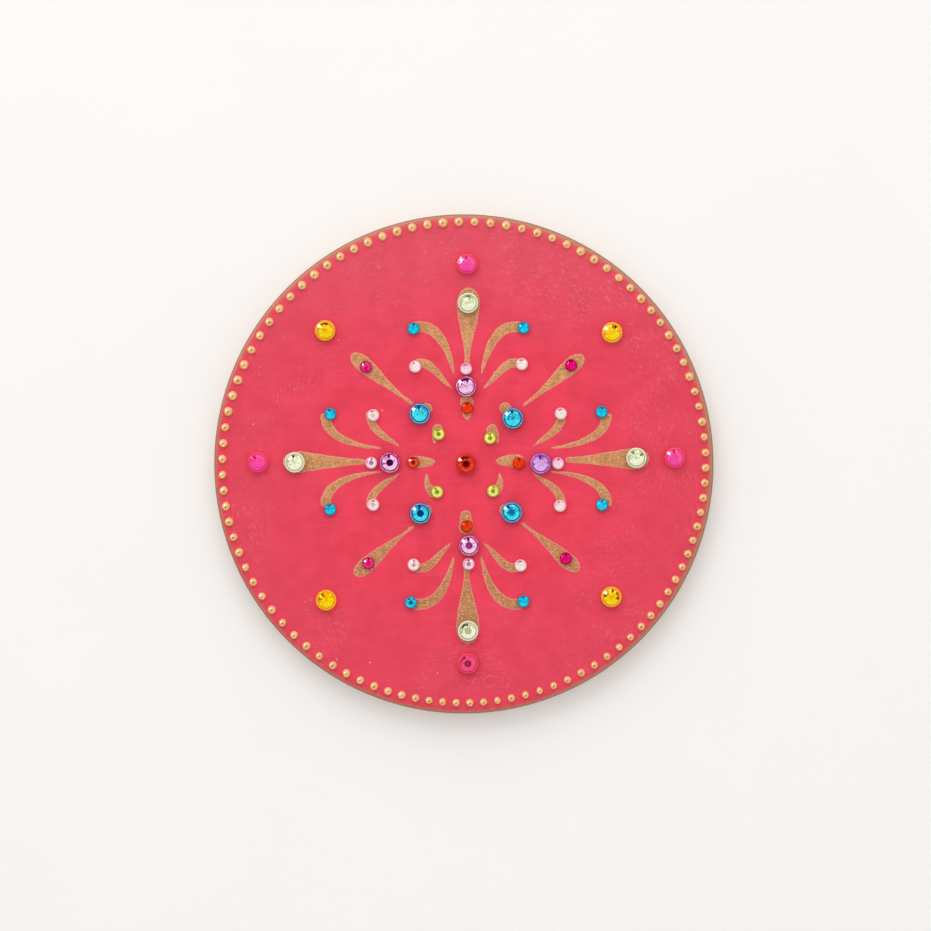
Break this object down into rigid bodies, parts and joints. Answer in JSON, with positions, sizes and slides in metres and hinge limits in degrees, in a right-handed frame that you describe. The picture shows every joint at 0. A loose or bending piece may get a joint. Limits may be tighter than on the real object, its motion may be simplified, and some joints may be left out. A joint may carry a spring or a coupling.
{
  "type": "jewelled mandala disc",
  "caption": "Round flat painted wooden ornament: a pink-red face with gold stencilled strokes, a ring of piped gold dots and faceted flat-backed stones set as a mandala.",
  "frame": {"origin": "centre of the flat back face, which rests on the surface", "axes": "+Z out of the decorated face, +Y towards the top of the mandala as pictured, +X to the right"},
  "size_m": [0.12, 0.12, 0.0071],
  "materials": {
    "board": "raw fibreboard, browned at the cut edge",
    "gold_paint": "grainy satin gold acrylic paint",
    "red_paint": "brushed satin acrylic paint, scuffed towards the rim",
    "bead_paint": "glossy raised gold paint",
    "gem_deep_red": "foil-backed faceted acrylic",
    "gem_red": "foil-backed faceted acrylic",
    "gem_purple": "foil-backed faceted acrylic",
    "gem_lilac": "foil-backed faceted acrylic",
    "gem_green": "foil-backed faceted acrylic",
    "gem_pink": "foil-backed faceted acrylic",
    "gem_blue": "foil-backed faceted acrylic",
    "gem_lime": "foil-backed faceted acrylic",
    "gem_magenta": "foil-backed faceted acrylic",
    "gem_yellow": "foil-backed faceted acrylic",
    "gem_sky": "foil-backed faceted acrylic",
    "gem_rose": "foil-backed faceted acrylic"
  },
  "bodies": {
    "root": {"wooden_disc": "board", "gold_ground_coat": "gold_paint", "red_top_coat": "red_paint", "gold_bead_border": "bead_paint", "stone_centre_red": "gem_deep_red", "stone_north_red": "gem_red", "stone_east_red": "gem_red", "stone_south_red": "gem_red", "stone_west_red": "gem_red", "stone_north_purple": "gem_purple", "stone_east_purple": "gem_purple", "stone_south_purple": "gem_purple", "stone_west_purple": "gem_purple", "stone_north_lilac": "gem_lilac", "stone_east_lilac": "gem_lilac", "stone_south_lilac": "gem_lilac", "stone_west_lilac": "gem_lilac", "stone_north_green": "gem_green", "stone_east_green": "gem_green", "stone_south_green": "gem_green", "stone_west_green": "gem_green", "stone_north_pink": "gem_pink", "stone_east_pink": "gem_pink", "stone_south_pink": "gem_pink", "stone_west_pink": "gem_pink", "stone_northwest_blue": "gem_blue", "stone_northeast_blue": "gem_blue", "stone_southeast_blue": "gem_blue", "stone_southwest_blue": "gem_blue", "stone_northwest_lime": "gem_lime", "stone_northeast_lime": "gem_lime", "stone_southeast_lime": "gem_lime", "stone_southwest_lime": "gem_lime", "stone_northwest_magenta": "gem_magenta", "stone_northeast_magenta": "gem_magenta", "stone_southeast_magenta": "gem_magenta", "stone_southwest_magenta": "gem_magenta", "stone_northwest_yellow": "gem_yellow", "stone_northeast_yellow": "gem_yellow", "stone_southeast_yellow": "gem_yellow", "stone_southwest_yellow": "gem_yellow", "stone_north_left_sky": "gem_sky", "stone_north_right_sky": "gem_sky", "stone_east_upper_sky": "gem_sky", "stone_east_lower_sky": "gem_sky", "stone_south_right_sky": "gem_sky", "stone_south_left_sky": "gem_sky", "stone_west_lower_sky": "gem_sky", "stone_west_upper_sky": "gem_sky", "stone_north_left_rose": "gem_rose", "stone_north_right_rose": "gem_rose", "stone_east_upper_rose": "gem_rose", "stone_east_lower_rose": "gem_rose", "stone_south_right_rose": "gem_rose", "stone_south_left_rose": "gem_rose", "stone_west_lower_rose": "gem_rose", "stone_west_upper_rose": "gem_rose"}
  },
  "joints": []
}
